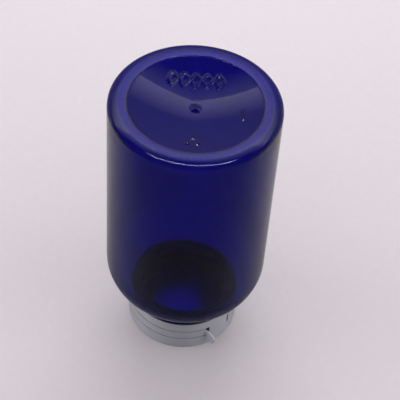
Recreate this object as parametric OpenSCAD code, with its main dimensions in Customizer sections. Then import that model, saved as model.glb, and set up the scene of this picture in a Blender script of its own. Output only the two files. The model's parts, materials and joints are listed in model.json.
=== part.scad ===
// Blue tablet bottle with a tear-strip flip lid, standing upside down on its closed lid.
// The bottle's axis is Z, z = 0 is the lid's outer face, and the lid's hinge is on the +X side.
// All sizes are in millimetres.

/* [Bottle body] */
// Outside diameter of the body
body_d = 58; // [50:0.5:80]
// Height of the bottle from its mouth rim to its base ring
bottle_h = 106.6; // [85:0.2:160]
// Thickness of the blown wall
wall_t = 1; // [0.6:0.1:1.4]
// Radius of the round shoulder
shoulder_r = 15; // [11:0.5:18]
// Radius of the heel, where the wall turns into the base
heel_r = 2; // [1.5:0.1:5]

/* [Bottle base] */
// Thickness of the base
base_t = 1; // [0.8:0.1:2.5]
// Diameter of the pushed-up dish in the base
dish_d = 44.8; // [36:0.2:47]
// Depth of the dish at its middle
dish_depth = 2.9; // [1.5:0.1:5]
// Height of the small step round the dish
dish_step = 0.4; // [0.1:0.1:0.8]
// Diameter of the moulding gate's nub
gate_d = 4.4; // [2:0.1:8]
// Height of the gate's nub over the dish
gate_h = 0.4; // [0.2:0.1:1]

/* [Bottle neck] */
// Outside diameter of the neck
neck_d = 35.4; // [30:0.2:40]
// Thickness of the neck
neck_t = 1.6; // [1.2:0.1:2.4]
// How far the locking bead stands out of the neck
bead_out = 1; // [0.6:0.1:1.6]
// Height of the locking bead
bead_h = 1.2; // [0.8:0.1:1.6]
// How far the carrying ring stands out of the neck
ring_out = 1.6; // [1:0.1:2.5]
// Height of the carrying ring
ring_h = 1.2; // [0.8:0.1:2]
// Bare neck between the carrying ring and the foot of the shoulder
neck_gap = 1.5; // [1:0.1:4]

/* [Closure] */
// Wall of the collar and of the lid's side
cap_t = 1.4; // [1.1:0.1:2]
// Clearance between the locking bead and the closure's wall
cap_gap = 0.3; // [0.2:0.05:0.6]
// Height of the collar that stays on the neck
collar_h = 4.1; // [3:0.1:7]
// Thickness of the collar's wall at its open end, outside the bevelled lead-in
lip_t = 0.3; // [0.2:0.05:0.6]
// Radius of the collar's upper edge
collar_edge_r = 0.15; // [0.05:0.05:0.2]
// Height of the collar's locking rib
rib_h = 0.8; // [0.5:0.1:1.2]
// Height of the locking rib over the collar's lower edge
rib_rise = 0.6; // [0.2:0.1:1.5]
// Radial clearance between the locking rib and the neck
rib_gap = 0.4; // [0.2:0.05:0.5]
// Clearance along the neck between the locking rib and the locking bead
lock_gap = 0.1; // [0.05:0.05:0.3]
// Clearance between the collar's upper edge and the carrying ring
ring_gap = 0.7; // [0.2:0.1:1]
// Radius of the small rounding along the tear lines
line_edge_r = 0.15; // [0.05:0.05:0.3]

/* [Lid] */
// Height of the lid's side
lid_h = 5.4; // [4.5:0.1:9]
// Thickness of the lid's flat face
lid_t = 1.3; // [1:0.1:2]
// Radius of the lid's outer edge
lid_edge_r = 0.9; // [0.4:0.1:1.2]
// Width of the ring that the lid stands on
foot_w = 3.6; // [2:0.1:6]
// Depth of the lid's face inside that ring
foot_depth = 0.3; // [0.1:0.1:0.5]
// Thickness of the sealing liner
liner_t = 1; // [0.6:0.1:1.8]
// Clearance between the liner's edge and the lid's side
liner_gap = 0.4; // [0.2:0.1:1]
// Clearance between the liner and the mouth rim
seal_gap = 0.1; // [0.05:0.05:0.3]

/* [Tear strip] */
// Height of the tear strip
strip_h = 3.6; // [2.5:0.1:6]
// Thickness of the tear strip
strip_t = 1; // [0.7:0.1:1.1]
// Height of each tear line, above and below the strip
tear_h = 0.4; // [0.15:0.05:0.6]
// Thickness of the web that is left in a tear line
web_t = 0.3; // [0.2:0.05:0.5]
// How far the web lies behind the outer face
web_in = 0.5; // [0.2:0.05:0.5]
// Clearance between a web's edge and the piece it tears from
web_gap = 0.04; // [0.02:0.01:0.06]
// Length of the strip's first stretch, which peels off with the tab
peel_len = 15; // [8:0.5:24]
// Gap where the first stretch bends away from the rest of the strip
peel_gap = 0.1; // [0.05:0.05:0.3]

/* [Lid hinge] */
// Width of the hinge strap round the closure
strap_w = 8.8; // [6:0.2:12]
// Thickness of the hinge strap
strap_t = 1; // [0.8:0.1:1.1]
// Thickness left where the strap bends
skin_t = 0.4; // [0.3:0.05:0.6]
// Slit between the strap and the far end of the tear strip
slit_w = 1; // [0.4:0.1:1.4]
// Notch between the strap and the pull tab
notch_w = 1.9; // [1.2:0.1:3]

/* [Pull tab] */
// Thickness of the tab
tab_t = 0.9; // [0.6:0.1:1]
// Length of the tab from its root
tab_len = 4.5; // [3.5:0.1:7]
// Angle between the tab and the strip that it leaves
tab_flare = 42; // [35:1:75]
// Height of the tab's root
tab_root_h = 3.5; // [2:0.1:3.6]
// Height of the root's lower edge over the strip's lower edge
tab_rise = 0.5; // [0.1:0.05:0.6]
// Length over which the tab stays above the lid
tab_waist = 1.5; // [1.3:0.1:2]
// Distance from the root to the knee in the tab's upper edge
tab_knee = 2.6; // [2:0.1:3]
// Height of that knee over the strip's lower edge
tab_knee_h = 1.3; // [0.2:0.1:2]
// Height of the tab's lowest corner over the lid's face
tab_low = 1.8; // [0.5:0.1:3]
// Size of the tab's cut-off corner
tab_corner = 1.4; // [0.5:0.1:2]

/* [Hidden] */
$fn = 96;
// Overlap that makes joined shapes one solid
JOIN = 0.2;
BOTTLE_BLUE = [0.05, 0.05, 0.4, 0.6];
CLOSURE_GREY = [0.78, 0.79, 0.82];
LINER_WHITE = [0.92, 0.92, 0.9];

// Radii, from the neck outwards
neck_r = neck_d / 2;
mouth_r = neck_r - neck_t;
bead_r = neck_r + bead_out;
cap_in_r = bead_r + cap_gap;
cap_r = cap_in_r + cap_t;
rib_r = neck_r + rib_gap;
body_r = body_d / 2;
liner_r = cap_in_r - liner_gap;

// Heights, from the lid's face up to the base ring
liner_z = lid_t;
mouth_z = liner_z + liner_t + seal_gap;
strip_z = lid_h + tear_h;
strip_top = strip_z + strip_h;
collar_z = strip_top + tear_h;
cap_top = collar_z + collar_h;
// The lead-in is a bevel of 45 degrees round the collar's open end
lead_in = cap_t - lip_t;
rib_z = collar_z + rib_rise;
bead_z = rib_z - lock_gap - bead_h;
ring_z = cap_top + ring_gap;
shoulder_z = ring_z + ring_h + neck_gap;
base_z = mouth_z + bottle_h;
// Inside its step, the dish is part of a sphere through its edge and its deepest point
dish_rise = dish_depth - dish_step;
dish_sphere_r = (pow(dish_d / 2, 2) + pow(dish_rise, 2)) / (2 * dish_rise);
dish_centre_z = base_z - dish_depth + dish_sphere_r;

// Angles round the closure, counted from the hinge
function arc_angle(length) = length / cap_r * 180 / PI;
strap_half = arc_angle(strap_w) / 2;
strip_far = strap_half + arc_angle(slit_w);
tab_angle = -strap_half - arc_angle(notch_w);
peel_angle = tab_angle - arc_angle(peel_len);
peel_half_gap = arc_angle(peel_gap) / 2;

// Half outline of a round block with its lower and upper corners rounded
module round_block(r, z0, z1, low_r, high_r) {
    translate([0, z0]) square([r - low_r, z1 - z0]);
    translate([0, z1 - high_r - JOIN]) square([r - high_r, high_r + JOIN]);
    translate([0, z0 + low_r]) square([r, z1 - z0 - low_r - high_r]);
    intersection() {
        translate([r - low_r, z0 + low_r]) circle(low_r);
        translate([r - low_r - JOIN, z0]) square([low_r + JOIN, low_r + JOIN]);
    }
    intersection() {
        translate([r - high_r, z1 - high_r]) circle(high_r);
        translate([r - high_r - JOIN, z1 - high_r - JOIN]) square([high_r + JOIN, high_r + JOIN]);
    }
}

// Half outline of a ring between two radii
module ring_outline(r0, r1, z0, z1) {
    translate([r0, z0]) square([r1 - r0, z1 - z0]);
}

// A stretch of a turned outline between two angles round the closure
module turned(from, to) {
    rotate([0, 0, from]) rotate_extrude(angle = to - from) children();
}

module bottle_outside() {
    round_block(body_r, shoulder_z, base_z, shoulder_r, heel_r);
    translate([0, mouth_z]) square([neck_r, shoulder_z + shoulder_r - mouth_z]);
    ring_outline(neck_r - JOIN, bead_r, bead_z, bead_z + bead_h);
    ring_outline(neck_r - JOIN, neck_r + ring_out, ring_z, ring_z + ring_h);
}

module bottle_inside() {
    difference() {
        round_block(
            body_r - wall_t, shoulder_z + wall_t, base_z - base_t,
            shoulder_r - wall_t, heel_r - wall_t
        );
        translate([0, dish_centre_z]) circle(dish_sphere_r + base_t);
    }
    translate([0, mouth_z - JOIN]) square([mouth_r, shoulder_z + shoulder_r - mouth_z]);
}

// Half outline of the dish: a cap of the sphere under a straight-sided step
module dish_outline() {
    intersection() {
        translate([0, dish_centre_z]) circle(dish_sphere_r);
        translate([0, base_z - dish_depth]) square([dish_d / 2, dish_depth + JOIN]);
    }
    translate([0, base_z - dish_step]) square([dish_d / 2, dish_step + JOIN]);
}

module bottle() {
    color(BOTTLE_BLUE) {
        rotate_extrude() difference() {
            bottle_outside();
            bottle_inside();
            dish_outline();
        }
        translate([0, 0, base_z - dish_depth - JOIN]) cylinder(d = gate_d, h = gate_h + JOIN);
    }
}

// Half outline of the bevel that guides the collar's open end over the locking bead
module lead_in_outline() {
    polygon([
        [cap_in_r - JOIN, cap_top - lead_in],
        [cap_in_r, cap_top - lead_in],
        [cap_in_r + lead_in, cap_top],
        [cap_in_r + lead_in, cap_top + JOIN],
        [cap_in_r - JOIN, cap_top + JOIN]
    ]);
}

module collar() {
    color(CLOSURE_GREY) rotate_extrude() {
        difference() {
            round_block(cap_r, collar_z, cap_top, line_edge_r, collar_edge_r);
            translate([0, collar_z - JOIN]) square([cap_in_r, collar_h + 2 * JOIN]);
            lead_in_outline();
        }
        ring_outline(rib_r, cap_in_r + JOIN, rib_z, rib_z + rib_h);
    }
}

// Outline of the strip with the torn edges of both webs
module strip_outline() {
    ring_outline(cap_r - strip_t, cap_r, strip_z, strip_top);
    ring_outline(cap_r - web_in - web_t, cap_r - web_in, lid_h + web_gap, collar_z - web_gap);
}

module tear_strip() {
    color(CLOSURE_GREY) turned(strip_far, 360 + peel_angle - peel_half_gap) strip_outline();
}

// The tab's blade, seen from above: a bar along +X that starts inside the strip
module tab_plan() {
    translate([-JOIN, -tab_t / 2]) square([tab_len + 2 * JOIN, tab_t]);
}

// The tab's blade, seen from its side: it narrows to a waist, then hangs down
module tab_side() {
    polygon([
        [-tab_t, strip_z + tab_rise],
        [tab_waist, strip_z + tab_rise],
        [tab_len - tab_corner, tab_low],
        [tab_len, tab_low + tab_corner],
        [tab_knee, strip_z + tab_knee_h],
        [-tab_t, strip_z + tab_root_h]
    ]);
}

module pull_tab() {
    color(CLOSURE_GREY) {
        turned(peel_angle + peel_half_gap, tab_angle) strip_outline();
        rotate([0, 0, tab_angle]) translate([cap_r - strip_t / 2, 0, 0]) rotate([0, 0, 90 - tab_flare])
            intersection() {
                linear_extrude(height = collar_z) tab_plan();
                translate([0, tab_t, 0]) rotate([90, 0, 0]) linear_extrude(height = 2 * tab_t) tab_side();
            }
    }
}

module hinge_strap() {
    color(CLOSURE_GREY) turned(-strap_half, strap_half) difference() {
        ring_outline(cap_r - strap_t, cap_r, lid_h, collar_z);
        translate([cap_r - strap_t, (lid_h + collar_z) / 2]) circle(strap_t - skin_t);
    }
}

module lid() {
    color(CLOSURE_GREY) rotate_extrude() difference() {
        round_block(cap_r, 0, lid_h, lid_edge_r, line_edge_r);
        translate([0, lid_t]) square([cap_in_r, lid_h]);
        translate([0, -JOIN]) square([cap_r - foot_w, foot_depth + JOIN]);
    }
}

module liner() {
    color(LINER_WHITE) translate([0, 0, liner_z]) cylinder(r = liner_r, h = liner_t);
}

bottle();
collar();
tear_strip();
pull_tab();
hinge_strap();
lid();
liner();
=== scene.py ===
"""Looks of a blue tablet bottle that stands upside down on its tear-strip flip lid."""

import json
from functools import partial
from math import acos, atan2, ceil, cos, dist, hypot, pi, radians, sin, sqrt, tan, tau

import bmesh
import bpy
from bpy.props import FloatProperty, FloatVectorProperty, IntProperty, PointerProperty
from bpy.types import Operator, Panel, PropertyGroup
from mathutils import Matrix, Vector


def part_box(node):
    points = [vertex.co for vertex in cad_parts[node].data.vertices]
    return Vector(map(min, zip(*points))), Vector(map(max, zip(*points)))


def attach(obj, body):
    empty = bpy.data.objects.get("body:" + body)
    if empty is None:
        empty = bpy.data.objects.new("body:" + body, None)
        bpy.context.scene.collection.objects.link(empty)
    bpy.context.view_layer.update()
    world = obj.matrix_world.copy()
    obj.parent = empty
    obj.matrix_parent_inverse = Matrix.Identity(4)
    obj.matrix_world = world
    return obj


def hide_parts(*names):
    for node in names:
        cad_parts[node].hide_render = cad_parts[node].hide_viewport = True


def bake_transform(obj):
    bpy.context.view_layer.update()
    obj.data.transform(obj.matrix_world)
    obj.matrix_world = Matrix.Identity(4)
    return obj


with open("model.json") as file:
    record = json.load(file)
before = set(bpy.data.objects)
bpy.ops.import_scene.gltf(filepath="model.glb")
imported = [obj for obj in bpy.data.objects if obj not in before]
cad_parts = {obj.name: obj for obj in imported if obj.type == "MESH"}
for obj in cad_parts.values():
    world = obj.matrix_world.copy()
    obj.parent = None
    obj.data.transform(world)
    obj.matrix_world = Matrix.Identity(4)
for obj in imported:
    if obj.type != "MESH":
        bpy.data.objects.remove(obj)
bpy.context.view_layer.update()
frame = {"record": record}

bl_info = {
    "name": "Tablet bottle",
    "version": (1, 0, 0),
    "blender": (4, 5, 0),
    "location": "View3D > Sidebar > Tablet bottle",
    "description": "Blown tablet bottle with a tear-strip flip lid, and the stage it stands on",
    "category": "Add Mesh",
}

MM = 0.001

# Bodies of the imported part
BOTTLE_BODY = "bottle_body"
LID_BODY = "lid_body"

# The closure's material, and the attribute of the points where its plastic is thin; there a paler colour is
# painted, as painted light that passes through the thin blade
CLOSURE_PLASTIC = "moulded_grey_pe"
LIT_THROUGH_MARK = "thin"


def span(node):
    """Radius of a turned node, and its lowest and highest height."""
    low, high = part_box(node)
    return max(high[0], -low[0]), low[2], high[2]


def joint_place(name):
    """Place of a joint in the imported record."""
    joints = frame["record"]["behaviour"]["joints"]
    return Vector(next(joint["pos_m"] for joint in joints if joint["name"] == name))


BODY_R, MOUTH_Z, BASE_Z = span("bottle")
CAP_R, COLLAR_Z, CAP_TOP = span("collar")
LID_H = span("lid")[2]
LINER_R, LINER_Z, LINER_TOP = span("liner")
PEEL = joint_place("strip_peel")
PEEL_ANGLE = atan2(PEEL.y, PEEL.x)

# Shared by every turned piece: the small circle that carries the outline, and the arc step of its corners
PATH_R = 1.0 * MM
CORNER_STEP = radians(15.0)

# Points closer than this are one point
MERGE = 0.002 * MM


def linear(code):
    """Linear colour with full alpha from an sRGB hex code."""
    parts = [int(code[i:i + 2], 16) / 255 for i in (1, 3, 5)]
    rgb = [p / 12.92 if p <= 0.04045 else ((p + 0.055) / 1.055) ** 2.4 for p in parts]
    return (*rgb, 1.0)


def length_prop(label, about, size_mm):
    """A length that a user may change, given in millimetres."""
    return FloatProperty(
        name=label, description=about, default=size_mm * MM, min=0.0, unit="LENGTH", precision=4)


def angle_prop(label, about, degrees):
    """An angle that a user may change, given in degrees."""
    return FloatProperty(name=label, description=about, default=radians(degrees), subtype="ANGLE")


def colour_prop(label, about, code):
    """A colour that a user may change, given as an sRGB hex code."""
    return FloatVectorProperty(
        name=label, description=about, default=linear(code), size=4, min=0.0, max=1.0, subtype="COLOR")


class BottleSizes(PropertyGroup):
    """Sizes of the blown bottle that its box doesn't give"""

    wall: length_prop("Wall", "Wall of the body", 1.0)
    base_t: length_prop("Base", "Thickness of the base under its dish", 0.85)
    ring_t: length_prop("Ring wall", "Thickness of the base under its ring", 0.4)
    heel_t: length_prop("Heel wall", "Thickness of the heel", 0.8)
    shoulder_r: length_prop("Shoulder", "Radius of the shoulder's arc", 15.0)
    shoulder_foot: length_prop("Shoulder foot", "Height of its foot above the mouth", 14.9)
    heel_r: length_prop("Heel", "Radius of the rounded heel", 2.0)
    heel_tilt: angle_prop("Heel tilt", "Fall of the base from its ring to the heel", 4.0)
    land_r: length_prop("Standing ring", "Outer radius of the base's ring", 25.7)
    dish_r: length_prop("Dish radius", "Radius of the dish in the base", 22.4)
    dish_depth: length_prop("Dish depth", "Depth of the dish's middle", 2.9)
    dish_step: length_prop("Dish step", "Small step from the ring down to the dish", 0.4)
    ring_fall: length_prop("Ring fall", "How far the standing ring falls outwards", 0.05)
    gate_r: length_prop("Gate spot", "Radius of the spot in the dish's middle", 2.2)
    neck_r: length_prop("Neck radius", "Outer radius of the neck", 17.7)
    neck_t: length_prop("Neck wall", "Wall of the neck", 1.6)
    bead_r: length_prop("Locking bead", "Radius of the bead under the collar", 18.7)
    bead_z: length_prop("Bead height", "Height of the bead's lower edge", 9.1)
    bead_h: length_prop("Bead width", "Width of the bead along the neck", 1.2)
    ring_r: length_prop("Carrying ring", "Radius of the ring under the collar", 19.3)
    ring_z: length_prop("Ring height", "Height of the ring's lower edge", 14.6)
    ring_h: length_prop("Ring width", "Width of the ring along the neck", 1.2)
    mark_h: length_prop("Mark height", "How far the marks stand out of the base", 0.45)
    wave: length_prop("Wall wave", "How far the inner wall wanders from true", 0.06)
    segments: IntProperty(name="Segments", description="Flats round the turned bottle", default=288, min=48)


class ClosureSizes(PropertyGroup):
    """Sizes of the moulded closure that its boxes don't give"""

    skirt_t: length_prop("Skirt", "Wall of the collar and of the lid's skirt", 1.4)
    top_edge: length_prop("Collar edge", "Rounding of the collar's upper edge", 0.15)
    lip_t: length_prop("Collar lip", "Wall of the collar's bevelled open end", 0.3)
    line_edge: length_prop("Line edge", "Rounding along both tear lines", 0.15)
    rib_r: length_prop("Locking rib", "Inner radius of the rib behind the bead", 18.1)
    rib_z: length_prop("Rib height", "Height of the locking rib's lower edge", 10.4)
    rib_h: length_prop("Rib width", "Width of the locking rib", 0.8)
    face_t: length_prop("Lid face", "Thickness of the lid's face", 1.3)
    face_edge: length_prop("Lid edge", "Rounding of the lid's outer edge", 0.5)
    foot_in: length_prop("Foot ring, inside", "Inner radius of the lid's foot ring", 16.8)
    recess: length_prop("Face recess", "Depth of the face inside its foot ring", 0.3)
    strip_t: length_prop("Strip", "Thickness of the tear strip", 1.0)
    line_w: length_prop("Tear line", "Width of each tear line", 0.4)
    web_in: length_prop("Web, inside", "Inner radius of the thin webs", 19.6)
    web_out: length_prop("Web, outside", "Outer radius of the thin webs", 19.9)
    web_gap: length_prop("Web gap", "Gap from a web to the next piece", 0.04)
    strap_angle: angle_prop("Strap", "Half the angle that it covers", 12.358)
    strap_lap: length_prop("Strap lap", "How far the strap laps the collar and lid", 0.45)
    strap_proud: length_prop("Strap skin", "How far the strap stands out of the skirt", 0.02)
    groove_r: length_prop("Hinge groove", "Radius of the groove inside the strap", 0.6)
    strip_far: angle_prop("Strip end", "Angle of the strip's far end", 15.167)
    tab_angle: angle_prop("Tab", "Angle of the pull tab's root", -17.694)
    tab_heading: angle_prop("Tab heading", "Direction of the tab's blade", 30.306)
    tab_t: length_prop("Tab blade", "Thickness of the pull tab's blade", 0.9)
    tab_reach: length_prop("Tab reach", "How far the blade's tip stands off its root", 4.5)
    bend_half: angle_prop("Peel bend", "Half the arc where the peeled strip bends", 9.0)
    liner_edge: length_prop("Liner edge", "Rounding of the foam disc's cut edge", 0.15)
    step: angle_prop("Step", "Arc step of the turned pieces", 1.25)


class Colours(PropertyGroup):
    """Colours of the plastics and of the stage"""

    bottle_tint: colour_prop("Bottle tint", "What the blue plastic leaves of white light", "#4731DD")
    bottle_density: FloatProperty(
        name="Tint density", description="Absorption for each metre of plastic", default=3200.0, min=0.0)
    scuff: colour_prop("Scuffs", "Haze of scuffs on the base's ring", "#564AF6")
    closure: colour_prop("Closure", "Pale silver-grey closure", "#A0A2A9")
    closure_low: colour_prop("Closure, hollows", "The same plastic where it is duller", "#9A9BA2")
    # Painted light: the paler colour of the thin tab blade stands in for light that passes through it
    closure_lit_through: colour_prop("Closure, thin", "The same plastic where it is thin and paler", "#B5B6BD")
    foam: colour_prop("Liner foam", "White foam of the sealing liner", "#EDEDE8")
    foam_cell: colour_prop("Liner cells", "The foam's cells", "#DCDCD6")
    paper: colour_prop("Paper", "Pale floor under the bottle", "#EAE3E8")
    paper_fibre: colour_prop("Paper fibres", "The floor's faint fibres", "#E4DCE2")
    wall: colour_prop("Room wall", "Walls that the bottle reflects", "#F2EFF3")
    room: colour_prop("Room light", "Even light of the room", "#FBF8FB")


# Geometry helpers

def arc(centre, radius, start, end, count):
    """Points of an arc in the outline's plane, both ends included."""
    turns = [start + (end - start) * i / count for i in range(count + 1)]
    return [(centre[0] + radius * cos(a), centre[1] + radius * sin(a)) for a in turns]


def corner_path(corners):
    """Points along straight runs whose inner corners, given as (x, y, radius), are rounded."""
    points = [tuple(corners[0][:2])]
    for before, corner, after in zip(corners, corners[1:], corners[2:]):
        points += rounded(before, corner, after)
    points.append(tuple(corners[-1][:2]))
    return points


def closed_path(corners):
    """Points round a closed outline whose corners, given as (x, y, radius), are rounded."""
    points = []
    for i, corner in enumerate(corners):
        points += rounded(corners[i - 1], corner, corners[(i + 1) % len(corners)])
    return points


def rounded(before, corner, after):
    """The points that take the place of one corner."""
    middle = Vector(corner[:2])
    radius = corner[2] if len(corner) > 2 else 0.0
    if radius <= 0.0:
        return [tuple(middle)]
    back = Vector(before[:2]) - middle
    ahead = Vector(after[:2]) - middle
    room = 0.49 * min(back.length, ahead.length)
    back.normalize()
    ahead.normalize()
    half = back.angle(ahead) / 2
    run = min(radius / tan(half), room)
    centre = middle + (back + ahead).normalized() * (run / cos(half))
    first = middle + back * run - centre
    turn = first.angle_signed(middle + ahead * run - centre)
    count = max(2, ceil(abs(turn) / CORNER_STEP))
    spins = [Matrix.Rotation(-turn * i / count, 2) for i in range(count + 1)]
    return [tuple(centre + spin @ first) for spin in spins]


def fine(points, longest, closed=False):
    """The same outline with its long runs divided."""
    ends = points[1:] + points[:1] if closed else points[1:]
    result = []
    for a, b in zip(points, ends):
        count = max(1, ceil(dist(a, b) / longest))
        shares = [i / count for i in range(count)]
        result += [(a[0] + (b[0] - a[0]) * share, a[1] + (b[1] - a[1]) * share) for share in shares]
    return result if closed else result + [points[-1]]


def smoothstep(value):
    """Soft step from 0 to 1."""
    t = min(1.0, max(0.0, value))
    return t * t * (3 - 2 * t)


def add_node(tree, kind, inputs=None, **settings):
    """Adds a node with its settings, and links or sets its inputs.

    A node that is given as an input stands for the first output that it shows.
    """
    node = tree.nodes.new(kind)
    for name, value in settings.items():
        setattr(node, name, value)
    for name, value in (inputs or {}).items():
        if isinstance(value, bpy.types.Node):
            value = next(socket for socket in value.outputs if socket.enabled)
        if isinstance(value, bpy.types.NodeSocket):
            tree.links.new(value, node.inputs[name])
        else:
            node.inputs[name].default_value = value
    return node


def add_object(name, data):
    """An object in the scene, from a mesh, a lamp or a camera."""
    thing = bpy.data.objects.new(name, data)
    bpy.context.scene.collection.objects.link(thing)
    return thing


def turned_tree():
    """Geometry Nodes tree that turns an outline round the Z axis, all the way or over an arc."""
    name = "turned_piece"
    if name in bpy.data.node_groups:
        return bpy.data.node_groups[name]
    tree = bpy.data.node_groups.new(name, "GeometryNodeTree")
    add = partial(add_node, tree)
    for socket, kind in (
            ("Outline", "Geometry"), ("Path Radius", "Float"), ("Steps", "Int"), ("Start", "Float"),
            ("Sweep", "Float"), ("Whole Turn", "Bool"), ("Merge Distance", "Float"),
            ("Material", "Material")):
        tree.interface.new_socket(socket, in_out="INPUT", socket_type=f"NodeSocket{kind}")
    tree.interface.new_socket("Piece", in_out="OUTPUT", socket_type="NodeSocketGeometry")
    given = add("NodeGroupInput").outputs
    outline = add("GeometryNodeMeshToCurve", {"Mesh": given["Outline"]})
    size = {"Resolution": given["Steps"], "Radius": given["Path Radius"]}
    circle = add("GeometryNodeCurvePrimitiveCircle", size, mode="RADIUS")
    part_turn = add("GeometryNodeCurveArc", mode="RADIUS", inputs={
        **size, "Start Angle": given["Start"], "Sweep Angle": given["Sweep"]})
    path = add("GeometryNodeSwitch", input_type="GEOMETRY", inputs={
        "Switch": given["Whole Turn"], "False": part_turn, "True": circle})
    capped = add("FunctionNodeBooleanMath", {0: given["Whole Turn"]}, operation="NOT")
    swept = add("GeometryNodeCurveToMesh", {"Curve": path, "Profile Curve": outline, "Fill Caps": capped})
    merged = add("GeometryNodeMergeByDistance", {"Geometry": swept, "Distance": given["Merge Distance"]})
    smooth = add("GeometryNodeSetShadeSmooth", {"Geometry": merged})
    real = add("GeometryNodeRealizeInstances", {"Geometry": smooth})
    finished = add("GeometryNodeSetMaterial", {"Geometry": real, "Material": given["Material"]})
    add("NodeGroupOutput", {"Piece": finished})
    return tree


def turned(name, outline, material, steps, closed=True, start=None, end=None):
    """A piece turned from its outline of (radius, height) points, as a plain mesh.

    The outline is drawn flat, with its height along -Y, because the sweep lays Y along -Z.
    An arc's end sections stand square to its end chords, so the arc is made one step longer.
    """
    mesh = bpy.data.meshes.new(name)
    count = len(outline)
    edges = [(i, (i + 1) % count) for i in range(count if closed else count - 1)]
    mesh.from_pydata([(r - PATH_R, -z, 0.0) for r, z in outline], edges, [])
    piece = add_object(name, mesh)
    whole = start is None
    sweep = 0.0 if whole else (end - start) * (steps - 1) / (steps - 2)
    values = {
        "Path Radius": PATH_R,
        "Steps": steps,
        "Start": 0.0 if whole else (start + end - sweep) / 2,
        "Sweep": sweep,
        "Whole Turn": whole,
        "Merge Distance": MERGE,
        "Material": material,
    }
    tree = turned_tree()
    sweeper = piece.modifiers.new("turn", "NODES")
    sweeper.node_group = tree
    for item in tree.interface.items_tree:
        if item.in_out == "INPUT" and item.name in values:
            sweeper[item.identifier] = values[item.name]
    return plain(piece)


def plain(piece):
    """Takes the evaluated mesh, drops the modifiers and makes its faces point outwards."""
    graph = bpy.context.evaluated_depsgraph_get()
    mesh = bpy.data.meshes.new_from_object(piece.evaluated_get(graph), depsgraph=graph)
    outline = piece.data
    piece.modifiers.clear()
    piece.data = mesh
    mesh.name = piece.name
    bpy.data.meshes.remove(outline)
    face_outwards(mesh)
    return piece


def face_outwards(mesh):
    """Closes seams, and turns every face of a closed mesh outwards."""
    work = bmesh.new()
    work.from_mesh(mesh)
    bmesh.ops.remove_doubles(work, verts=work.verts, dist=MERGE)
    bmesh.ops.recalc_face_normals(work, faces=work.faces)
    open_edges = [edge for edge in work.edges if not edge.is_manifold]
    if open_edges:
        raise RuntimeError(f"{mesh.name} has {len(open_edges)} open edges")
    if work.calc_volume(signed=True) < 0:
        bmesh.ops.reverse_faces(work, faces=work.faces)
    for face in work.faces:
        face.smooth = True
    work.to_mesh(mesh)
    work.free()


def crisp(piece, degrees=50.0):
    """Keeps the shading sharp at edges that turn by more than this angle."""
    piece.data.set_sharp_from_angle(angle=radians(degrees))


def mesh_piece(name, material, work):
    """A piece from a bmesh that is already in place."""
    mesh = bpy.data.meshes.new(name)
    work.to_mesh(mesh)
    work.free()
    mesh.materials.append(material)
    piece = add_object(name, mesh)
    face_outwards(mesh)
    return piece


def joined(name, pieces):
    """One piece from several meshes."""
    work = bmesh.new()
    material = pieces[0].data.materials[0]
    for piece in pieces:
        work.from_mesh(piece.data)
        bpy.data.objects.remove(piece)
    return mesh_piece(name, material, work)


def steps_for(angle, step):
    """Number of path points for an arc."""
    return max(4, ceil(abs(angle) / step) + 1)


# Materials

def new_material(name):
    """An empty node material, and the function that adds nodes to it."""
    if name in bpy.data.materials:
        bpy.data.materials.remove(bpy.data.materials[name])
    material = bpy.data.materials.new(name)
    material.use_nodes = True
    material.node_tree.nodes.clear()
    return material, partial(add_node, material.node_tree)


def blown_polyester(colours, sizes):
    """Cobalt-blue blown PET: clear and glossy, deep blue where the light passes much plastic.

    The mould leaves slow waves in the surface, and standing about leaves a fine haze of scuffs on the
    standing ring.
    """
    material, add = new_material("blown_cobalt_pet")
    place = add("ShaderNodeTexCoord").outputs["Object"]
    wave = add("ShaderNodeTexNoise", {
        "Vector": place, "Scale": 1 / (14 * MM), "Detail": 1.0, "Roughness": 0.4})
    bump = add("ShaderNodeBump", {"Height": wave, "Strength": 0.10, "Distance": 0.3 * MM})
    scuff = add("ShaderNodeTexNoise", {
        "Vector": place, "Scale": 1 / (2.2 * MM), "Detail": 5.0, "Roughness": 0.65})
    axes = add("ShaderNodeSeparateXYZ", {"Vector": place}).outputs
    flat = add("ShaderNodeCombineXYZ", {"X": axes["X"], "Y": axes["Y"]})
    radius = add("ShaderNodeVectorMath", {0: flat}, operation="LENGTH")
    top = add("ShaderNodeMapRange", {
        "Value": axes["Z"], "From Min": BASE_Z - 0.6 * MM, "From Max": BASE_Z - 0.4 * MM})
    inside = add("ShaderNodeMapRange", {
        "Value": radius, "From Min": sizes.dish_r, "From Max": sizes.dish_r + 0.4 * MM})
    outside = add("ShaderNodeMapRange", {
        "Value": radius, "From Min": sizes.land_r - 0.6 * MM, "From Max": sizes.land_r + 0.8 * MM,
        "To Min": 1.0, "To Max": 0.0})
    ring = add("ShaderNodeMath", {0: inside, 1: outside}, operation="MULTIPLY")
    land = add("ShaderNodeMath", {0: ring, 1: top}, operation="MULTIPLY")
    haze = add("ShaderNodeMapRange", {
        "Value": scuff, "From Min": 0.25, "From Max": 0.75, "To Min": 0.05, "To Max": 0.13})
    cloud = add("ShaderNodeMath", {0: haze, 1: land}, operation="MULTIPLY")
    clear = add("ShaderNodeMath", {0: 1.0, 1: cloud}, operation="SUBTRACT")
    rough = add("ShaderNodeMath", {0: cloud, 1: 0.015}, operation="ADD")
    tone = add("ShaderNodeMix", data_type="RGBA", inputs={
        "Factor": land, 6: (1.0, 1.0, 1.0, 1.0), 7: colours.scuff})
    skin = add("ShaderNodeBsdfPrincipled", {
        "Base Color": tone, "Roughness": rough, "IOR": 1.57, "Transmission Weight": clear, "Normal": bump})
    depth = add("ShaderNodeVolumeAbsorption", {
        "Color": colours.bottle_tint, "Density": colours.bottle_density})
    add("ShaderNodeOutputMaterial", {"Surface": skin, "Volume": depth})
    return material


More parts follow.
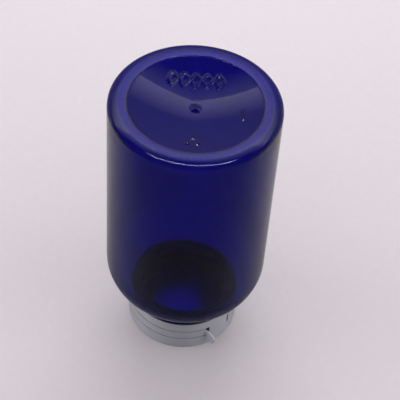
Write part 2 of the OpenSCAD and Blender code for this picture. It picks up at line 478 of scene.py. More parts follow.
def moulded_polyethylene(colours):
    """Pale grey injection-moulded PE: satin, with a fine spark-eroded grain, and painted paler where it is
    thin, as painted light that passes through the thin blade.
    """
    material, add = new_material(CLOSURE_PLASTIC)
    place = add("ShaderNodeTexCoord").outputs["Object"]
    shade = add("ShaderNodeTexNoise", {
        "Vector": place, "Scale": 1 / (6 * MM), "Detail": 3.0, "Roughness": 0.5})
    thick = add("ShaderNodeMix", data_type="RGBA", inputs={
        "Factor": shade, 6: colours.closure_low, 7: colours.closure})
    # Painted light: where the blade is thin it is painted paler, for the light that passes through it
    thin = add("ShaderNodeAttribute", attribute_name=LIT_THROUGH_MARK).outputs["Fac"]
    tone = add("ShaderNodeMix", data_type="RGBA", inputs={
        "Factor": thin, 6: thick, 7: colours.closure_lit_through})
    # The real grain is about 0.05 mm wide; it is drawn at 0.3 mm, so that it shows
    grain = add("ShaderNodeTexNoise", {
        "Vector": place, "Scale": 1 / (0.3 * MM), "Detail": 2.0, "Roughness": 0.6})
    bump = add("ShaderNodeBump", {"Height": grain, "Strength": 0.15, "Distance": 0.05 * MM})
    rough = add("ShaderNodeMapRange", {
        "Value": shade, "From Min": 0.3, "From Max": 0.7, "To Min": 0.36, "To Max": 0.5})
    skin = add("ShaderNodeBsdfPrincipled", {
        "Base Color": tone, "Roughness": rough, "IOR": 1.51, "Normal": bump})
    add("ShaderNodeOutputMaterial", {"Surface": skin})
    return material


def closed_cell_foam(colours):
    """White expanded PE: dull, with small closed cells in its cut face."""
    material, add = new_material("white_pe_foam")
    place = add("ShaderNodeTexCoord").outputs["Object"]
    cells = add("ShaderNodeTexVoronoi", {"Vector": place, "Scale": 1 / (0.6 * MM)})
    tone = add("ShaderNodeMix", data_type="RGBA", inputs={
        "Factor": cells, 6: colours.foam, 7: colours.foam_cell})
    bump = add("ShaderNodeBump", {"Height": cells, "Strength": 0.3, "Distance": 0.1 * MM})
    skin = add("ShaderNodeBsdfPrincipled", {
        "Base Color": tone, "Roughness": 0.8, "IOR": 1.45, "Normal": bump})
    add("ShaderNodeOutputMaterial", {"Surface": skin})
    return material


def matte_paper(colours):
    """Uncoated pale paper: flat and dull, with faint soft fibres; far off it fades into the background. In
    reflections it carries painted shade, darkest in front of the bottle.
    """
    material, add = new_material("matte_paper")
    place = add("ShaderNodeTexCoord").outputs["Object"]
    fibre = add("ShaderNodeTexNoise", {
        "Vector": place, "Scale": 1 / (3 * MM), "Detail": 4.0, "Roughness": 0.6})
    tone = add("ShaderNodeMix", data_type="RGBA", inputs={
        "Factor": fibre, 6: colours.paper_fibre, 7: colours.paper})
    rays = ray_kinds(add)
    # Painted shade: the paper is darker where a reflection shows it, most in front of the bottle
    depth = add("ShaderNodeVectorMath", operation="DOT_PRODUCT", inputs={
        0: place, 1: stage_point(0.0, 1.0, 0.0)})
    reflection_shade = add("ShaderNodeMapRange", interpolation_type="SMOOTHSTEP", inputs={
        "Value": depth, "From Min": PAPER_TURN[0], "From Max": PAPER_TURN[1],
        "To Min": PAPER_GLOSS_SHADE_FRONT, "To Max": PAPER_GLOSS_SHADE_BACK})
    shown = add("ShaderNodeMix", data_type="RGBA", blend_type="MULTIPLY", inputs={
        "Factor": rays["mirrored"], 6: tone, 7: reflection_shade})
    skin = add("ShaderNodeBsdfPrincipled", {
        "Base Color": shown, "Roughness": 0.9, "Specular IOR Level": 0.1})
    distance = add("ShaderNodeVectorMath", {0: place}, operation="LENGTH")
    far = add("ShaderNodeMapRange", interpolation_type="SMOOTHSTEP", inputs={
        "Value": distance, "From Min": PAPER_FADE[0], "From Max": PAPER_FADE[1]})
    fade = add("ShaderNodeMath", {0: far, 1: rays["seen"]}, operation="MULTIPLY")
    glow = add("ShaderNodeEmission", {"Color": colours.paper})
    sheet = add("ShaderNodeMixShader", {"Fac": fade, 1: skin, 2: glow})
    add("ShaderNodeOutputMaterial", {"Surface": sheet})
    return material


def ray_kinds(add):
    """Nodes that are 1 for one kind of ray each: seen, mirrored, or lighting the inside of the bottle.

    A ray through rough glass counts as glossy too, so a reflection is a glossy ray that isn't transmitted.
    """
    rays = add("ShaderNodeLightPath").outputs
    passed = rays["Is Transmission Ray"]
    inside = add(
        "ShaderNodeMath", {0: passed, 1: rays["Diffuse Depth"]}, operation="MULTIPLY", use_clamp=True)
    through = add("ShaderNodeMath", {0: passed, 1: inside}, operation="SUBTRACT")
    seen = add("ShaderNodeMath", {0: rays["Is Camera Ray"], 1: through}, operation="MAXIMUM")
    mirrored = add(
        "ShaderNodeMath", {0: rays["Is Glossy Ray"], 1: passed}, operation="SUBTRACT", use_clamp=True)
    return {"seen": seen, "mirrored": mirrored, "inside": inside}


def level_by_ray(add, rays, lighting, mirrored, inside):
    """Node with a glowing surface's strength for each kind of ray; it is 1 where the surface is seen."""
    level = lighting
    for kind, value in (("mirrored", mirrored), ("inside", inside), ("seen", 1.0)):
        level = add("ShaderNodeMix", {"Factor": rays[kind], 2: level, 3: value}, data_type="FLOAT")
    return level


def room_paint(name, colours, start, low, high):
    """Plain painted room: pale behind the bottle, brighter towards a panel's end where a gloss shows it."""
    material, add = new_material(name)
    rays = ray_kinds(add)
    tone = add("ShaderNodeMix", data_type="RGBA", inputs={
        "Factor": rays["seen"], 6: colours.wall, 7: colours.paper})
    place = add("ShaderNodeTexCoord").outputs["UV"]
    axes = add("ShaderNodeSeparateXYZ", {"Vector": place}).outputs
    mirrored = add("ShaderNodeMapRange", {
        "Value": axes["Y"], "From Min": start, "To Min": low, "To Max": high})
    level = level_by_ray(add, rays, WALL_LIGHT, mirrored, INSIDE_LIGHT)
    glow = add("ShaderNodeEmission", {"Color": tone, "Strength": level})
    add("ShaderNodeOutputMaterial", {"Surface": glow})
    return material


# The blown bottle

# Direction in which the row of marks on the base runs, from the hinge
MARK_HEADING = radians(44.765)

# Marks on the base, in millimetres to the right of the gate spot and beyond it, and their edges' softness
RHOMBS = [(3.9 * i - 8.5, 12.3) for i in range(5)]
RHOMB_HALF = (1.7, 3.0)
RHOMB_RIDGE = 0.8
BAR = (15.6, -2.6)
BAR_SIZE = (4.8, 1.3)
PIPS = ((0.0, -14.6), (-1.6, -17.2), (1.6, -17.2))
PIP_SIZE = (1.7, 1.7)
RING_PIP = (-24.0, -1.6)
RING_PIP_SIZE = (2.4, 1.7)
RING_PIP_LEAN = 0.3
RING_PIP_RISE = 0.7
MARK_SOFT = 0.35 * MM


def dish_height(sizes, radius):
    """Height of the base's outer face in the dish."""
    rise = sizes.dish_depth - sizes.dish_step
    ball = (sizes.dish_r ** 2 + rise ** 2) / (2 * rise)
    return BASE_Z - sizes.dish_depth + ball - sqrt(ball ** 2 - radius ** 2)


def heel_centre(sizes):
    """Centre of the heel's arc, which takes over from the tilted rim of the base."""
    run = BODY_R - sizes.heel_r * (1 - sin(sizes.heel_tilt)) - sizes.land_r
    start = BASE_Z - sizes.ring_fall - run * tan(sizes.heel_tilt)
    return BODY_R - sizes.heel_r, start - sizes.heel_r * cos(sizes.heel_tilt)


def base_outline(sizes):
    """From the middle of the base out to the top of the body's wall."""
    gate = sizes.gate_r
    middle = dish_height(sizes, 0.0)
    nub = 0.5 * MM
    shares = [0.0, 0.15, 0.3, 0.45, 0.6, 0.75, 0.88, 0.96]
    spot = [(share * gate, middle + nub * (1 - share ** 2)) for share in shares]
    spot += [(r * gate, dish_height(sizes, r * gate)) for r in (1.04, 1.15, 1.3)]
    inner = 1.5 * gate
    outer = sizes.dish_r - 0.4 * MM
    rings = 64
    radii = [inner + (outer - inner) * i / rings for i in range(rings + 1)]
    dish = [(r, dish_height(sizes, r)) for r in radii]
    centre = heel_centre(sizes)
    heel = arc(centre, sizes.heel_r, pi / 2 - sizes.heel_tilt, 0.0, count=16)
    rim = corner_path([
        (sizes.dish_r - 0.2 * MM, dish_height(sizes, sizes.dish_r - 0.2 * MM)),
        (sizes.dish_r, dish_height(sizes, sizes.dish_r), 0.12 * MM),
        (sizes.dish_r + 0.15 * MM, BASE_Z, 0.2 * MM),
        (sizes.land_r, BASE_Z - sizes.ring_fall, 0.5 * MM),
        heel[0]])
    return spot + dish + rim[:-1] + heel


def side_outline(sizes, skin):
    """The wall and the shoulder down to the neck, a given depth under the outer skin."""
    foot = MOUTH_Z + sizes.shoulder_foot
    centre = (BODY_R - sizes.shoulder_r, foot + sizes.shoulder_r)
    radius = sizes.shoulder_r - skin
    neck = sizes.neck_r if skin == 0.0 else sizes.neck_r - sizes.neck_t
    fillet = 1.0 * MM
    last = -acos((neck + fillet - centre[0]) / radius)
    top = BASE_Z - 2 * sizes.heel_r - 2 * MM
    rings = 16
    wall = [(BODY_R - skin, top + (centre[1] - top) * i / rings) for i in range(rings)]
    return wall + arc(centre, radius, 0.0, last, count=22)


def neck_outline(sizes):
    """The neck's outside, mouth and inside, from the shoulder and back up to it."""
    neck = sizes.neck_r
    mouth = neck - sizes.neck_t
    foot = MOUTH_Z + sizes.shoulder_foot
    return corner_path([
        (neck + 0.6 * MM, foot + 0.25 * MM),
        (neck, foot, 0.6 * MM),
        (neck, sizes.ring_z + sizes.ring_h, 0.25 * MM),
        (sizes.ring_r, sizes.ring_z + 0.8 * sizes.ring_h, 0.3 * MM),
        (sizes.ring_r, sizes.ring_z + 0.2 * sizes.ring_h, 0.3 * MM),
        (neck, sizes.ring_z, 0.25 * MM),
        (neck, sizes.bead_z + sizes.bead_h, 0.2 * MM),
        (sizes.bead_r, sizes.bead_z + 0.8 * sizes.bead_h, 0.3 * MM),
        (sizes.bead_r, sizes.bead_z + 0.5 * sizes.bead_h, 0.3 * MM),
        (neck, sizes.bead_z - 0.6 * sizes.bead_h, 0.4 * MM),
        (neck, MOUTH_Z, 0.45 * MM),
        (mouth, MOUTH_Z, 0.45 * MM),
        (mouth, foot + sizes.wall, 1.5 * MM),
        (mouth + 0.9 * MM, foot + sizes.wall + 0.35 * MM)])


def inside_outline(sizes):
    """The inside of the heel and of the base, from the wall to the axis."""
    dome_r = sizes.dish_r - 1.8 * MM
    centre = heel_centre(sizes)
    heel = arc(centre, sizes.heel_r - sizes.heel_t, 0.0, pi / 2, count=12)

    def under_dish(radius):
        return radius, dish_height(sizes, radius) - sizes.base_t

    rim = corner_path([
        heel[-1],
        (sizes.land_r - 0.3 * MM, BASE_Z - sizes.ring_fall - sizes.ring_t, 0.5 * MM),
        (sizes.dish_r + 0.7 * MM, BASE_Z - sizes.ring_t, 0.3 * MM),
        (*under_dish(sizes.dish_r + 0.1 * MM), 0.3 * MM),
        under_dish(dome_r)])
    rings = 24
    dome = [under_dish(dome_r * (1 - i / rings)) for i in range(1, rings + 1)]
    return heel[:-1] + rim + dome


def bottle_outline(sizes):
    """The whole bottle from the base's middle, over the outside, the mouth and the inside, to the axis."""
    outside = base_outline(sizes) + side_outline(sizes, 0.0) + neck_outline(sizes)
    return outside + list(reversed(side_outline(sizes, sizes.wall))) + inside_outline(sizes)


def capsule(point, middle, heading, length, width):
    """Distance of a point from the edge of a bar with round ends, below zero inside it."""
    along = Vector((cos(heading), sin(heading)))
    offset = point - middle
    run = max(-(length - width) / 2, min((length - width) / 2, offset.dot(along)))
    return (offset - along * run).length - width / 2


def mark(place, turn, size):
    """One mark as (middle, heading, length, width), from its place, turn and size as the row lies."""
    middle = Matrix.Rotation(MARK_HEADING, 2) @ Vector(place) * MM
    return middle, MARK_HEADING + turn, size[0] * MM, size[1] * MM


def base_marks():
    """Generic raised marks on the base, as (middle, heading, length, width) in the plane of the base.

    A row of five rhombs stands beyond the gate spot, with a bar to its right and three pips in front of it.
    """
    half_w, half_h = RHOMB_HALF
    lean = atan2(half_h, half_w)
    side = (hypot(half_w, half_h), RHOMB_RIDGE)
    marks = [mark(BAR, pi / 2, BAR_SIZE)]
    marks += [mark(pip, 0.0, PIP_SIZE) for pip in PIPS]
    for x, y in RHOMBS:
        for across, along in ((-1, -1), (-1, 1), (1, -1), (1, 1)):
            middle = (x + across * half_w / 2, y + along * half_h / 2)
            marks.append(mark(middle, -lean * across * along, side))
    return marks


def raise_marks(piece, sizes):
    """Lifts the marks out of the base's outer face, and a pip out of the standing ring."""
    marks = base_marks()
    pip = mark(RING_PIP, RING_PIP_LEAN, RING_PIP_SIZE)
    for vertex in piece.data.vertices:
        point = vertex.co.xy
        radius = point.length
        if radius < sizes.dish_r - 0.3 * MM and vertex.co.z > dish_height(sizes, radius) - 0.1 * MM:
            near = min(capsule(point, *each) for each in marks)
            vertex.co.z += sizes.mark_h * smoothstep(0.5 - near / MARK_SOFT)
        elif vertex.co.z > BASE_Z - sizes.heel_r / 2 and radius > sizes.dish_r:
            near = capsule(point, *pip)
            vertex.co.z += RING_PIP_RISE * sizes.mark_h * smoothstep(0.5 - near / MARK_SOFT)


def wander(piece, sizes):
    """Lets the blown inner wall wander a little, as slow waves along and round the bottle."""
    inner = BODY_R - sizes.wall
    lowest = MOUTH_Z + sizes.shoulder_foot + 2 * MM
    highest = BASE_Z - 6 * MM
    for vertex in piece.data.vertices:
        radius = vertex.co.xy.length
        on_wall = inner - 12 * MM <= radius <= inner + 0.1 * MM
        if not on_wall or not lowest <= vertex.co.z <= highest:
            continue
        turn = atan2(vertex.co.y, vertex.co.x)
        height = vertex.co.z / BODY_R
        wave = sin(3 * turn + 2.1 * height) + 0.6 * sin(5 * turn - 4.3 * height + 1.0)
        wave += 0.8 * sin(2 * turn + 6.0 * height + 2.2)
        vertex.co.xy *= 1 + sizes.wave * wave / (2.4 * radius)


class BottleOperator(Operator):
    """Makes the blown bottle with its base marks"""

    bl_idname = "tablet_bottle.make_bottle"
    bl_label = "Bottle"

    def execute(self, context):
        sizes = context.scene.bottle_sizes
        material = blown_polyester(context.scene.bottle_colours, sizes)
        shell = turned("bottle_shell", bottle_outline(sizes), material, sizes.segments, closed=False)
        raise_marks(shell, sizes)
        wander(shell, sizes)
        crisp(shell, 60.0)
        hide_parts("bottle")
        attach(shell, BOTTLE_BODY)
        return {"FINISHED"}


# The moulded closure

class CollarOperator(Operator):
    """Makes the collar that stays on the neck"""

    bl_idname = "tablet_bottle.make_collar"
    bl_label = "Collar"

    def execute(self, context):
        sizes = context.scene.closure_sizes
        inner = CAP_R - sizes.skirt_t
        line = sizes.line_edge
        rib_top = sizes.rib_z + sizes.rib_h
        soft = 0.1 * MM
        outline = closed_path([
            (CAP_R, COLLAR_Z, line), (CAP_R, CAP_TOP, sizes.top_edge),
            (CAP_R - sizes.lip_t, CAP_TOP, soft / 2), (inner, CAP_TOP - sizes.skirt_t + sizes.lip_t, soft),
            (inner, rib_top, soft), (sizes.rib_r, rib_top, 3 * soft), (sizes.rib_r, sizes.rib_z, 2 * soft),
            (inner, sizes.rib_z, soft), (inner, COLLAR_Z, line)])
        steps = steps_for(tau, sizes.step)
        collar = turned("collar_ring", outline, closure_material(context), steps)
        crisp(collar)
        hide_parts("collar")
        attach(collar, BOTTLE_BODY)
        return {"FINISHED"}


def closure_material(context):
    """The closure's plastic, made once and shared by its pieces."""
    return bpy.data.materials.get(CLOSURE_PLASTIC) or moulded_polyethylene(context.scene.bottle_colours)


def strip_outline(sizes):
    """Section of the tear strip with the thin webs that stand in both tear lines."""
    low = LID_H + sizes.line_w
    high = COLLAR_Z - sizes.line_w
    web_low = LID_H + sizes.web_gap
    web_high = COLLAR_Z - sizes.web_gap
    inner = CAP_R - sizes.strip_t
    line = sizes.line_edge
    return closed_path([
        (inner, low, line), (sizes.web_in, low), (sizes.web_in, web_low), (sizes.web_out, web_low),
        (sizes.web_out, low), (CAP_R, low, line), (CAP_R, high, line), (sizes.web_out, high),
        (sizes.web_out, web_high), (sizes.web_in, web_high), (sizes.web_in, high), (inner, high, line)])


class StripOperator(Operator):
    """Makes the tear strip, up to where its first stretch bends"""

    bl_idname = "tablet_bottle.make_strip"
    bl_label = "Tear strip"

    def execute(self, context):
        sizes = context.scene.closure_sizes
        start = sizes.strip_far
        end = tau + PEEL_ANGLE - sizes.bend_half
        steps = steps_for(end - start, sizes.step)
        material = closure_material(context)
        strip = turned("tear_strip_band", strip_outline(sizes), material, steps, start=start, end=end)
        crisp(strip)
        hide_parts("tear_strip")
        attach(strip, LID_BODY)
        return {"FINISHED"}


# The tab's blade along its path, in millimetres: distance from its root, lower edge and upper edge
TAB_STATIONS = (
    (-2.2, 6.5, 9.4), (0.0, 6.4, 9.2), (0.8, 6.3, 8.5), (1.4, 5.9, 8.2), (2.3, 3.9, 7.4),
    (3.1, 2.0, 6.4), (3.8, 2.0, 5.4), (4.3, 2.5, 4.6), (4.5, 2.9, 3.8))


def along_stations(stations, place):
    """Soft reading of a value pair between stations given as (place, low, high)."""
    for (a, low_a, high_a), (b, low_b, high_b) in zip(stations, stations[1:]):
        if place <= b:
            share = smoothstep((place - a) / (b - a))
            return low_a + (low_b - low_a) * share, high_a + (high_b - high_a) * share
    return stations[-1][1:]


def tab_blade(sizes, material):
    """The pull tab's blade: it leaves the strip's end, turns off it and droops to a rounded tip."""
    angle = sizes.tab_angle
    root_r = CAP_R - sizes.strip_t / 2
    root = Vector((cos(angle), sin(angle))) * root_r
    along = Vector((-sin(angle), cos(angle)))
    heading = Vector((cos(sizes.tab_heading), sin(sizes.tab_heading)))
    tip = root + heading * sizes.tab_reach
    stations = [[value * MM for value in station] for station in TAB_STATIONS]
    run = stations[0][0]
    bend_r = 1.1 * MM
    path = corner_path([root + along * run, (*root, bend_r), tip])
    path = [Vector(point) for point in fine(path, longest=0.28 * MM)]
    edge = 0.2 * MM
    tip_share = 0.55
    work = bmesh.new()
    rings = []
    for i, point in enumerate(path):
        if i:
            run += (point - path[i - 1]).length
        ahead = (path[min(i + 1, len(path) - 1)] - path[max(i - 1, 0)]).normalized()
        side = Vector((ahead.y, -ahead.x))
        low, high = along_stations(stations, run)
        half = sizes.tab_t / 2 * (tip_share if i == len(path) - 1 else 1.0)
        corners = ((-half, low), (half, low), (half, high), (-half, high))
        section = closed_path([(*corner, edge) for corner in corners])
        rings.append([work.verts.new((*(point + side * s), z)) for s, z in section])
    count = len(rings[0])
    for near, far in zip(rings, rings[1:]):
        for i in range(count):
            work.faces.new((near[i], near[(i + 1) % count], far[(i + 1) % count], far[i]))
    work.faces.new(list(reversed(rings[0])))
    work.faces.new(rings[-1])
    return mesh_piece("tab_blade", material, work)


def mark_lit_through(piece, fade):
    """Marks the points of a piece that stand off the skirt, where its blade is thin and is painted paler,
    as painted light that passes through it.
    """
    marks = piece.data.attributes.new(LIT_THROUGH_MARK, "FLOAT", "POINT")
    for vertex, level in zip(piece.data.vertices, marks.data):
        level.value = smoothstep((vertex.co.xy.length - CAP_R) / fade)


class TabOperator(Operator):
    """Makes the pull tab with the stretch of strip that peels off with it"""

    bl_idname = "tablet_bottle.make_tab"
    bl_label = "Pull tab"

    def execute(self, context):
        sizes = context.scene.closure_sizes
        material = closure_material(context)
        start = PEEL_ANGLE - sizes.bend_half
        end = sizes.tab_angle
        steps = steps_for(end - start, sizes.step)
        lead = turned("tab_lead", strip_outline(sizes), material, steps, start=start, end=end)
        tab = joined("pull_tab_strip", [lead, tab_blade(sizes, material)])
        mark_lit_through(tab, sizes.tab_t)
        crisp(tab)
        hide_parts("pull_tab")
        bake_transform(tab)
        return {"FINISHED"}


class StrapOperator(Operator):
    """Makes the hinge strap, whose skin runs on over the collar and the lid"""

    bl_idname = "tablet_bottle.make_strap"
    bl_label = "Hinge strap"

    def execute(self, context):
        sizes = context.scene.closure_sizes
        outer = CAP_R + sizes.strap_proud
        inner = CAP_R - sizes.strip_t
        low = LID_H - sizes.strap_lap
        high = COLLAR_Z + sizes.strap_lap
        middle = (LID_H + COLLAR_Z) / 2
        soft = 0.1 * MM
        back = arc((inner, middle), sizes.groove_r, pi / 2, -pi / 2, count=12)
        front = corner_path([(inner, low), (outer, low, soft), (outer, high, soft), (inner, high)])
        outline = fine(front + back, longest=0.25 * MM, closed=True)
        half = sizes.strap_angle
        steps = steps_for(2 * half, sizes.step)
        material = closure_material(context)
        strap = turned("hinge_strap_panel", outline, material, steps, start=-half, end=half)
        crisp(strap)
        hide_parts("hinge_strap")
        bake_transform(strap)
        return {"FINISHED"}


class LidOperator(Operator):
    """Makes the flip lid and the foam liner inside it"""

    bl_idname = "tablet_bottle.make_lid"
    bl_label = "Lid and liner"

    def execute(self, context):
        sizes = context.scene.closure_sizes
        steps = steps_for(tau, sizes.step)
        inner = CAP_R - sizes.skirt_t
        foot = sizes.foot_in
        soft = 0.15 * MM
        gate_r = 1.0 * MM
        gate_z = sizes.recess + 0.35 * MM
        outline = corner_path([
            (0.0, gate_z), (gate_r, gate_z, soft), (gate_r + 0.2 * MM, sizes.recess, soft),
            (foot, sizes.recess, 0.2 * MM), (foot + 0.3 * MM, 0.0, soft), (CAP_R, 0.0, sizes.face_edge),
            (CAP_R, LID_H, sizes.line_edge), (inner, LID_H, sizes.line_edge),
            (inner, sizes.face_t, 2 * soft), (0.0, sizes.face_t)])
        lid = turned("flip_lid", outline, closure_material(context), steps, closed=False)
        crisp(lid)
        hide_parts("lid")
        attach(lid, LID_BODY)
        edge = sizes.liner_edge
        disc = corner_path([
            (0.0, LINER_Z), (LINER_R, LINER_Z, edge), (LINER_R, LINER_TOP, edge), (0.0, LINER_TOP)])
        foam = closed_cell_foam(context.scene.bottle_colours)
        liner = turned("sealing_liner", fine(disc, longest=2 * MM), foam, steps, closed=False)
        make_inner_glow(liner)
        crisp(liner)
        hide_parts("liner")
        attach(liner, LID_BODY)
        return {"FINISHED"}


# Stage: camera, light, floor and room

CAMERA_PLACE = Vector((222.46 * MM, -218.89 * MM, 414.45 * MM))
CAMERA_HEADING = 44.765
CAMERA_DOWN = 48.535
CAMERA_ROLL = 4.466
CAMERA_LENS = 120.49
SENSOR = 36.0

# Light of the room: from low and from high up, from the walls, and what of it reaches the bottle's inside
LOW_LIGHT = 0.06
HIGH_LIGHT = 1.10
WALL_LIGHT = 0.36
INSIDE_LIGHT = 0.10

# How bright a reflection shows the room above and in front, and the paper, against how bright they are; the
# paper's lower levels are painted shade, darkest in front of the bottle
ROOM_GLOSS = 0.05
PAPER_GLOSS_SHADE_FRONT = 0.18
PAPER_GLOSS_SHADE_BACK = 0.60

# Where the paper's painted shade in reflections goes from its front to its back level, and where the paper
# fades, in metres
PAPER_TURN = (-0.08, 0.07)
PAPER_FADE = (0.3, 0.9)

# Corner of the room straight behind the bottle, in metres and in degrees to either side of the camera's way
WALL_REACH = 1.7
WALL_HEIGHT = 1.175 * WALL_REACH
WALL_LENGTH = 2.4
WALL_ANGLES = {"left": -66.0, "right": 56.0}
CEILING_DEPTH = 0.30 * WALL_REACH

# Share of a panel where its reflection starts to brighten, and the brightness there and at the panel's end
WALL_GLOSS = (0.72, 0.30, 1.50)
CEILING_GLOSS = (0.0, ROOM_GLOSS, 0.58)

# Lamps: name, place as stage_point takes it, size in metres, power in watts, and the kind of ray they reach
LAMPS = (
    ("soft_key", (0.0, 0.36, 0.38), (0.45, 0.3), 1.05, "diffuse"),
    ("left_fill", (-0.7, -0.06, 0.045), (0.3, 0.07), 2.4, "diffuse"),
    ("right_fill", (0.7, -0.06, 0.045), (0.3, 0.07), 2.2, "diffuse"),
    ("tube", (0.0, -0.1, 1.6), (1.5, 0.3), 8.5, "glossy"))
LAMP_TARGET = Vector((0.0, 0.0, 0.03))

# Spot lamp that lights the liner, with its place and target as stage_point takes them
GLOW_PLACE = (0.2, 0.6, 0.45)
GLOW_TARGET = (-0.005, -0.0145, 0.0)
GLOW_POWER = 17.0
GLOW_CONE = radians(2.05)
GLOW_COLOUR = "#2018FF"


def stage_point(right, back, height):
    """A place given from the camera's side: to its right, away from it, and up, in metres."""
    view = radians(CAMERA_HEADING)
    across = Vector((cos(view), sin(view), 0.0))
    away = Vector((-sin(view), cos(view), 0.0))
    return across * right + away * back + Vector((0.0, 0.0, height))


def make_camera(scene):
    """Camera at the photograph's viewing angle."""
    data = bpy.data.cameras.new("camera")
    data.sensor_width = SENSOR
    data.lens = CAMERA_LENS
    data.clip_start = 0.01
    camera = add_object("camera", data)
    turn = Matrix.Rotation(radians(CAMERA_HEADING), 4, "Z")
    tilt = Matrix.Rotation(radians(90.0 - CAMERA_DOWN), 4, "X")
    roll = Matrix.Rotation(radians(CAMERA_ROLL), 4, "Z")
    camera.matrix_world = Matrix.Translation(CAMERA_PLACE) @ turn @ tilt @ roll
    scene.camera = camera


def put_lamp(data, place, target):
    """A lamp in its place, looking at a point."""
    lamp = add_object(data.name, data)
    lamp.location = place
    lamp.rotation_euler = (target - place).to_track_quat("-Z", "Y").to_euler()
    return lamp


def area_lamp(name, place, size, power, kind):
    """A soft rectangular lamp that looks at the bottle and reaches only one kind of ray."""
    data = bpy.data.lights.new(name, "AREA")
    data.shape = "RECTANGLE"
    data.size, data.size_y = size
    data.energy = power
    lamp = put_lamp(data, stage_point(*place), LAMP_TARGET)
    lamp.visible_camera = False
    lamp.visible_transmission = False
    lamp.visible_diffuse = kind == "diffuse"
    lamp.visible_glossy = kind == "glossy"


def make_world(scene, colours):
    """Room light, weaker from low down, and pale where the camera looks past the floor."""
    world = bpy.data.worlds.new("room")
    world.use_nodes = True
    world.node_tree.nodes.clear()
    add = partial(add_node, world.node_tree)
    rays = ray_kinds(add)
    tone = add("ShaderNodeMix", data_type="RGBA", inputs={
        "Factor": rays["seen"], 6: colours.room, 7: colours.paper})
    heading = add("ShaderNodeTexCoord").outputs["Generated"]
    axes = add("ShaderNodeSeparateXYZ", {"Vector": heading}).outputs
    lighting = add("ShaderNodeMapRange", {
        "Value": axes["Z"], "To Min": LOW_LIGHT, "To Max": HIGH_LIGHT})
    level = level_by_ray(add, rays, lighting, ROOM_GLOSS, INSIDE_LIGHT)
    light = add("ShaderNodeBackground", {"Color": tone, "Strength": level})
    add("ShaderNodeOutputWorld", {"Surface": light})
    scene.world = world


def make_inner_glow(liner):
    """Blue light that falls through the bottle onto its liner, from behind.

    It casts no shadow, because a lamp's light doesn't pass clear plastic, and it reaches the liner alone.
    """
    data = bpy.data.lights.new("inner_glow", "SPOT")
    data.energy = GLOW_POWER
    data.color = linear(GLOW_COLOUR)[:3]
    data.spot_size = GLOW_CONE
    data.spot_blend = 1.0
    data.use_shadow = False
    lamp = put_lamp(data, stage_point(*GLOW_PLACE), stage_point(*GLOW_TARGET))
    lit = bpy.data.collections.new("lit_by_inner_glow")
    lit.objects.link(liner)
    lamp.light_linking.receiver_collection = lit


def make_floor(colours):
    """A large sheet of matte paper."""
    work = bmesh.new()
    bmesh.ops.create_grid(work, x_segments=8, y_segments=8, size=3.0)
    mesh = bpy.data.meshes.new("paper_floor")
    work.to_mesh(mesh)
    work.free()
    mesh.materials.append(matte_paper(colours))
    floor = add_object("paper_floor", mesh)


def make_walls(colours):
    """Two walls that meet in a corner behind the bottle, with a strip of ceiling along their tops.

    Each panel's UV map runs up the wall, or out along the ceiling to the wall's top.
    """
    high = WALL_HEIGHT
    paint = room_paint("wall_paint", colours, *WALL_GLOSS)
    ceiling = room_paint("ceiling_paint", colours, *CEILING_GLOSS)
    for side, angle in WALL_ANGLES.items():
        turn = radians(angle)
        across, away = WALL_LENGTH * sin(turn), -WALL_LENGTH * cos(turn)
        corner, end = (0.0, WALL_REACH), (across, WALL_REACH + away)
        near, near_end = (0.0, WALL_REACH - CEILING_DEPTH), (across, WALL_REACH - CEILING_DEPTH + away)
        quads = {
            f"{side}_wall": (paint, [(*corner, 0.0), (*end, 0.0), (*end, high), (*corner, high)]),
            f"{side}_ceiling": (ceiling, [(*near, high), (*near_end, high), (*end, high), (*corner, high)])}
        for name, (material, points) in quads.items():
            mesh = bpy.data.meshes.new(name)
            mesh.from_pydata([stage_point(*point) for point in points], [], [(0, 1, 2, 3)])
            places = mesh.uv_layers.new(name="place")
            for loop, spot in zip(places.data, ((0.0, 0.0), (1.0, 0.0), (1.0, 1.0), (0.0, 1.0))):
                loop.uv = spot
            mesh.materials.append(material)
            panel = add_object(name, mesh)


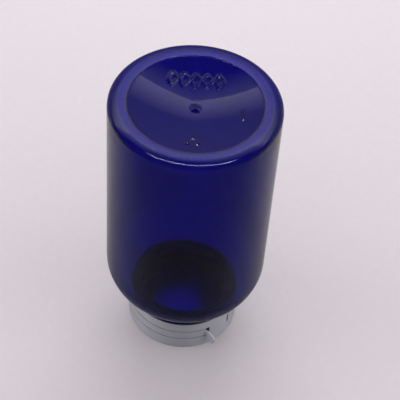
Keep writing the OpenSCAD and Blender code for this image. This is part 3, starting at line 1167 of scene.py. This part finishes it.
class StageOperator(Operator):
    """Makes the floor, the room, the lamps and the camera"""

    bl_idname = "tablet_bottle.make_stage"
    bl_label = "Stage"

    def execute(self, context):
        scene = context.scene
        colours = scene.bottle_colours
        scene.view_settings.view_transform = "Standard"
        make_camera(scene)
        make_world(scene, colours)
        make_floor(colours)
        make_walls(colours)
        for lamp in LAMPS:
            area_lamp(*lamp)
        return {"FINISHED"}


class BottlePanel(Panel):
    """Lists the pieces and the sizes"""

    bl_idname = "VIEW3D_PT_tablet_bottle"
    bl_label = "Tablet bottle"
    bl_space_type = "VIEW_3D"
    bl_region_type = "UI"
    bl_category = "Tablet bottle"

    def draw(self, context):
        layout = self.layout
        for operator in PIECE_OPERATORS:
            layout.operator(operator.bl_idname)
        scene = context.scene
        for group in (scene.bottle_sizes, scene.closure_sizes, scene.bottle_colours):
            box = layout.box()
            for name in group.__annotations__:
                box.prop(group, name)


PROPERTY_GROUPS = (BottleSizes, ClosureSizes, Colours)
PIECE_OPERATORS = (
    StageOperator, BottleOperator, CollarOperator, StripOperator, TabOperator, StrapOperator, LidOperator)


def register():
    for item in (*PROPERTY_GROUPS, *PIECE_OPERATORS, BottlePanel):
        bpy.utils.register_class(item)
    bpy.types.Scene.bottle_sizes = PointerProperty(type=BottleSizes)
    bpy.types.Scene.closure_sizes = PointerProperty(type=ClosureSizes)
    bpy.types.Scene.bottle_colours = PointerProperty(type=Colours)


def unregister():
    del bpy.types.Scene.bottle_colours
    del bpy.types.Scene.closure_sizes
    del bpy.types.Scene.bottle_sizes
    for item in reversed((*PROPERTY_GROUPS, *PIECE_OPERATORS, BottlePanel)):
        bpy.utils.unregister_class(item)


def main():
    register()
    bpy.ops.tablet_bottle.make_stage()
    bpy.ops.tablet_bottle.make_bottle()
    bpy.ops.tablet_bottle.make_collar()
    bpy.ops.tablet_bottle.make_strip()
    bpy.ops.tablet_bottle.make_tab()
    bpy.ops.tablet_bottle.make_strap()
    bpy.ops.tablet_bottle.make_lid()


if __name__ == "__main__":
    main()
